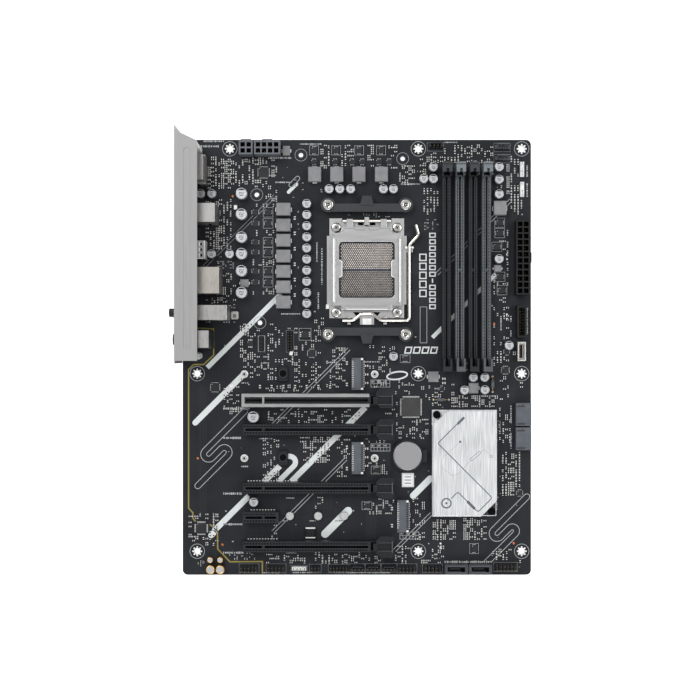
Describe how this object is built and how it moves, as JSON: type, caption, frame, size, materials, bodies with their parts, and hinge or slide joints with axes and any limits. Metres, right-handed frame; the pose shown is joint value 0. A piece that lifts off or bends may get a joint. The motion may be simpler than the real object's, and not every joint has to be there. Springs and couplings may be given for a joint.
{
  "type": "computer motherboard",
  "caption": "Flat computer motherboard with an open processor socket, memory slots, expansion slots, power sockets and a covered rear connector bank.",
  "frame": {"origin": "middle of the foot of the assembly's box; the circuit board's underside is centred at x 3.3, y -2.05, z 2.2 mm", "axes": "+Z out of the populated face, +Y along the board's long side towards the processor power sockets, +X from the rear connectors to the front edge"},
  "size_m": [0.2506, 0.3088, 0.0428],
  "materials": {
    "laminate": "satin solder mask",
    "steel": "stamped",
    "bright_steel": "polished",
    "aluminium": "brushed",
    "black_plastic": "moulded",
    "slate_plastic": "moulded",
    "grey_plastic": "moulded",
    "pale_blue_plastic": "moulded",
    "contact_plastic": "moulded",
    "painted_sheet": "matte",
    "nylon": "translucent",
    "plated_shell": "plated"
  },
  "bodies": {
    "board": {"pcb": "laminate", "socket_backplate": "steel", "socket_housing": "contact_plastic", "socket_frame": "steel", "socket_hinge_pin": "bright_steel", "cooler_bracket_upper": "black_plastic", "cooler_bracket_lower": "black_plastic", "bracket_screw_1": "bright_steel", "bracket_screw_2": "bright_steel", "bracket_screw_3": "bright_steel", "bracket_screw_4": "bright_steel", "memory_slot_1": "black_plastic", "memory_slot_2": "slate_plastic", "memory_slot_3": "black_plastic", "memory_slot_4": "slate_plastic", "pcie_slot_1": "black_plastic", "pcie_slot_2": "black_plastic", "pcie_slot_3": "black_plastic", "pcie_slot_4": "black_plastic", "pcie_slot_1_armor": "bright_steel", "pcie_x1_slot": "black_plastic", "m2_socket_1": "slate_plastic", "m2_socket_2": "slate_plastic", "m2_socket_3": "slate_plastic", "chipset_package": "black_plastic", "chipset_heatsink": "aluminium", "battery_holder": "black_plastic", "battery_cell": "steel", "main_power_connector": "black_plastic", "cpu_power_connector_8": "pale_blue_plastic", "cpu_power_connector_4": "pale_blue_plastic", "io_shield": "painted_sheet", "shield_post_1": "nylon", "shield_post_2": "nylon", "video_port_stack": "plated_shell", "usb_stack_quad": "plated_shell", "usb_stack_double": "plated_shell", "lan_usb_stack": "plated_shell", "wifi_module": "plated_shell", "antenna_jack_1": "black_plastic", "antenna_jack_2": "black_plastic", "audio_jack_stack": "black_plastic", "flashback_switch": "black_plastic", "sata_port_right_1": "slate_plastic", "sata_port_right_2": "slate_plastic", "sata_port_lower_1": "black_plastic", "sata_port_lower_2": "black_plastic", "usb3_header": "black_plastic", "usbc_header": "bright_steel"},
    "socket_load_plate_body": {"socket_load_plate": "bright_steel"},
    "socket_lever_body": {"socket_lever": "bright_steel"},
    "memory_latch_1_body": {"memory_latch_1": "black_plastic"},
    "memory_latch_2_body": {"memory_latch_2": "grey_plastic"},
    "memory_latch_3_body": {"memory_latch_3": "black_plastic"},
    "memory_latch_4_body": {"memory_latch_4": "grey_plastic"},
    "pcie_latch_1_body": {"pcie_latch_1": "black_plastic"},
    "pcie_latch_2_body": {"pcie_latch_2": "black_plastic"},
    "pcie_latch_3_body": {"pcie_latch_3": "black_plastic"},
    "pcie_latch_4_body": {"pcie_latch_4": "black_plastic"},
    "flashback_button_body": {"flashback_button": "slate_plastic"}
  },
  "joints": [
    {"name": "load_plate_hinge", "type": "hinge", "parent": "board", "child": "socket_load_plate_body", "pos_m": [0.0102, 0.09325, 0.0083], "axis": [-1, 0, 0], "range_deg": [0, 105]},
    {"name": "socket_lever_hinge", "type": "hinge", "parent": "board", "child": "socket_lever_body", "pos_m": [0.0102, 0.02365, 0.00655], "axis": [1, 0, 0], "range_deg": [0, 110]},
    {"name": "memory_latch_1_hinge", "type": "hinge", "parent": "board", "child": "memory_latch_1_body", "pos_m": [0.0656, 0.1288, 0.007], "axis": [-1, 0, 0], "range_deg": [0, 32]},
    {"name": "memory_latch_2_hinge", "type": "hinge", "parent": "board", "child": "memory_latch_2_body", "pos_m": [0.07487, 0.1288, 0.007], "axis": [-1, 0, 0], "range_deg": [0, 32]},
    {"name": "memory_latch_3_hinge", "type": "hinge", "parent": "board", "child": "memory_latch_3_body", "pos_m": [0.08414, 0.1288, 0.007], "axis": [-1, 0, 0], "range_deg": [0, 32]},
    {"name": "memory_latch_4_hinge", "type": "hinge", "parent": "board", "child": "memory_latch_4_body", "pos_m": [0.09341, 0.1288, 0.007], "axis": [-1, 0, 0], "range_deg": [0, 32]},
    {"name": "pcie_latch_1_hinge", "type": "hinge", "parent": "board", "child": "pcie_latch_1_body", "pos_m": [0.0158, -0.03185, 0.0084], "axis": [0, 1, 0], "range_deg": [0, 25]},
    {"name": "pcie_latch_2_hinge", "type": "hinge", "parent": "board", "child": "pcie_latch_2_body", "pos_m": [0.0158, -0.05217, 0.0084], "axis": [0, 1, 0], "range_deg": [0, 25]},
    {"name": "pcie_latch_3_hinge", "type": "hinge", "parent": "board", "child": "pcie_latch_3_body", "pos_m": [0.0158, -0.09281, 0.0084], "axis": [0, 1, 0], "range_deg": [0, 25]},
    {"name": "pcie_latch_4_hinge", "type": "hinge", "parent": "board", "child": "pcie_latch_4_body", "pos_m": [0.0158, -0.13345, 0.0084], "axis": [0, 1, 0], "range_deg": [0, 25]},
    {"name": "flashback_press", "type": "slide", "parent": "board", "child": "flashback_button_body", "axis": [1, 0, 0], "range_m": [0, 0.0005], "stiffness_N_per_m": 800}
  ]
}
